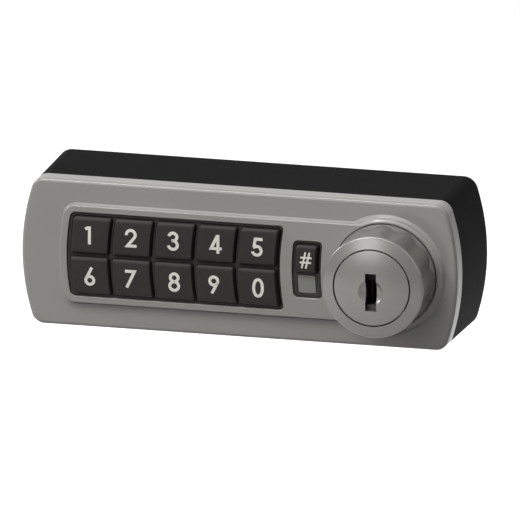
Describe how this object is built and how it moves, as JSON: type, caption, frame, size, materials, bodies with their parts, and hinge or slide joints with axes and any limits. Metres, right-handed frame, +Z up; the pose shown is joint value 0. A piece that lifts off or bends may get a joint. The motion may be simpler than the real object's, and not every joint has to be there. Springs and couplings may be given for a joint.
{
  "type": "keypad smart lock",
  "caption": "Cabinet lock with a digit keypad and a fluted turning knob that holds a key cylinder, with a threaded barrel and cam behind the door.",
  "frame": {"origin": "middle of the case's flat rear face, which lies on the door", "axes": "+X along the case towards the knob, +Y out of the rear face into the door, +Z up"},
  "size_m": [0.1318, 0.0764, 0.0446],
  "materials": {
    "satin_metal": "satin silver coating on a die-cast cover",
    "black_plastic": "fine-grained moulded black",
    "seal_rubber": "soft matte rubber",
    "frame_plastic": "half-gloss black",
    "window_plastic": "tinted grey, smooth",
    "mat_rubber": "silicone",
    "board_laminate": "green solder mask",
    "lamp_plastic": "clear white resin",
    "chip_plastic": "moulded epoxy",
    "knob_metal": "satin silver coating, turned and fluted",
    "key_plastic": "fine-grained moulded caps with printed digits",
    "wafer_brass": "stamped brass",
    "brass": "turned brass",
    "plug_metal": "satin nickel",
    "spring_steel": "spring steel",
    "plain_steel": "machined steel",
    "cam_steel": "zinc-plated plate",
    "screw_steel": "zinc-plated",
    "barrel_metal": "satin nickel on a die-cast barrel",
    "washer_steel": "zinc-plated plate",
    "nut_steel": "zinc-plated",
    "insert_brass": "knurled insert",
    "bolt_steel": "hardened steel",
    "lead_screw_brass": "cut brass",
    "motor_steel": "plated can",
    "bracket_plastic": "moulded black",
    "tray_plastic": "moulded black",
    "cell_jacket": "plain plastic jacket",
    "contact_plate": "nickel-plated spring plate"
  },
  "bodies": {
    "housing": {"front_cover": "satin_metal", "rear_housing": "black_plastic", "battery_lid": "black_plastic", "cover_seal": "seal_rubber", "keypad_frame": "frame_plastic", "status_window": "window_plastic", "keypad_mat": "mat_rubber", "circuit_board": "board_laminate", "status_lamp": "lamp_plastic", "controller_chip": "chip_plastic", "mount_barrel": "barrel_metal", "mount_washer": "washer_steel", "mount_nut": "nut_steel", "anchor_insert": "insert_brass", "lock_motor": "motor_steel", "motor_bracket": "bracket_plastic", "battery_tray": "tray_plastic", "battery_1": "cell_jacket", "battery_2": "cell_jacket", "contact_front": "contact_plate", "contact_rear": "contact_plate", "contact_bridge": "contact_plate", "lid_screw": "screw_steel", "case_screw_1": "screw_steel", "case_screw_2": "screw_steel", "case_screw_3": "screw_steel", "case_screw_4": "screw_steel", "board_screw_1": "screw_steel", "board_screw_2": "screw_steel", "board_screw_3": "screw_steel", "board_screw_4": "screw_steel"},
    "knob": {"knob": "knob_metal", "cylinder_sleeve": "brass", "rotor_spindle": "plain_steel", "rotor_screw_1": "screw_steel", "rotor_screw_2": "screw_steel", "cam": "cam_steel", "cam_screw": "screw_steel"},
    "key_plug": {"key_plug": "plug_metal", "plug_clip": "spring_steel", "wafer_1": "wafer_brass", "wafer_2": "wafer_brass", "wafer_3": "wafer_brass", "wafer_4": "wafer_brass", "wafer_5": "wafer_brass"},
    "locking_bolt": {"locking_bolt": "bolt_steel"},
    "lead_screw": {"lead_screw": "lead_screw_brass"},
    "key_1": {"key_1": "key_plastic"},
    "key_2": {"key_2": "key_plastic"},
    "key_3": {"key_3": "key_plastic"},
    "key_4": {"key_4": "key_plastic"},
    "key_5": {"key_5": "key_plastic"},
    "key_6": {"key_6": "key_plastic"},
    "key_7": {"key_7": "key_plastic"},
    "key_8": {"key_8": "key_plastic"},
    "key_9": {"key_9": "key_plastic"},
    "key_0": {"key_0": "key_plastic"},
    "key_enter": {"key_enter": "key_plastic"}
  },
  "joints": [
    {"name": "knob_turn", "type": "hinge", "parent": "housing", "child": "knob", "pos_m": [0.04405, 0, 0], "axis": [0, 1, 0], "range_deg": [0, 90]},
    {"name": "key_turn", "type": "hinge", "parent": "knob", "child": "key_plug", "pos_m": [0.04405, 0, 0], "axis": [0, 1, 0], "range_deg": [0, 90]},
    {"name": "lead_screw_turn", "type": "hinge", "parent": "housing", "child": "lead_screw", "pos_m": [0.018, -0.0175, 0], "axis": [1, 0, 0], "range_deg": [0, 720]},
    {"name": "bolt_slide", "type": "slide", "parent": "housing", "child": "locking_bolt", "axis": [1, 0, 0], "range_m": [0, 0.0028]},
    {"name": "key_1_press", "type": "slide", "parent": "housing", "child": "key_1", "axis": [0, 1, 0], "range_m": [0, 0.0008], "stiffness_N_per_m": 1500, "springref_m": -0.0005, "deforming": ["keypad_mat"]},
    {"name": "key_2_press", "type": "slide", "parent": "housing", "child": "key_2", "axis": [0, 1, 0], "range_m": [0, 0.0008], "stiffness_N_per_m": 1500, "springref_m": -0.0005, "deforming": ["keypad_mat"]},
    {"name": "key_3_press", "type": "slide", "parent": "housing", "child": "key_3", "axis": [0, 1, 0], "range_m": [0, 0.0008], "stiffness_N_per_m": 1500, "springref_m": -0.0005, "deforming": ["keypad_mat"]},
    {"name": "key_4_press", "type": "slide", "parent": "housing", "child": "key_4", "axis": [0, 1, 0], "range_m": [0, 0.0008], "stiffness_N_per_m": 1500, "springref_m": -0.0005, "deforming": ["keypad_mat"]},
    {"name": "key_5_press", "type": "slide", "parent": "housing", "child": "key_5", "axis": [0, 1, 0], "range_m": [0, 0.0008], "stiffness_N_per_m": 1500, "springref_m": -0.0005, "deforming": ["keypad_mat"]},
    {"name": "key_6_press", "type": "slide", "parent": "housing", "child": "key_6", "axis": [0, 1, 0], "range_m": [0, 0.0008], "stiffness_N_per_m": 1500, "springref_m": -0.0005, "deforming": ["keypad_mat"]},
    {"name": "key_7_press", "type": "slide", "parent": "housing", "child": "key_7", "axis": [0, 1, 0], "range_m": [0, 0.0008], "stiffness_N_per_m": 1500, "springref_m": -0.0005, "deforming": ["keypad_mat"]},
    {"name": "key_8_press", "type": "slide", "parent": "housing", "child": "key_8", "axis": [0, 1, 0], "range_m": [0, 0.0008], "stiffness_N_per_m": 1500, "springref_m": -0.0005, "deforming": ["keypad_mat"]},
    {"name": "key_9_press", "type": "slide", "parent": "housing", "child": "key_9", "axis": [0, 1, 0], "range_m": [0, 0.0008], "stiffness_N_per_m": 1500, "springref_m": -0.0005, "deforming": ["keypad_mat"]},
    {"name": "key_0_press", "type": "slide", "parent": "housing", "child": "key_0", "axis": [0, 1, 0], "range_m": [0, 0.0008], "stiffness_N_per_m": 1500, "springref_m": -0.0005, "deforming": ["keypad_mat"]},
    {"name": "key_enter_press", "type": "slide", "parent": "housing", "child": "key_enter", "axis": [0, 1, 0], "range_m": [0, 0.0008], "stiffness_N_per_m": 1500, "springref_m": -0.0005, "deforming": ["keypad_mat"]}
  ],
  "couplings": [
    {"joint": "lead_screw_turn", "follows": "bolt_slide", "rad_per_m": 4488}
  ]
}
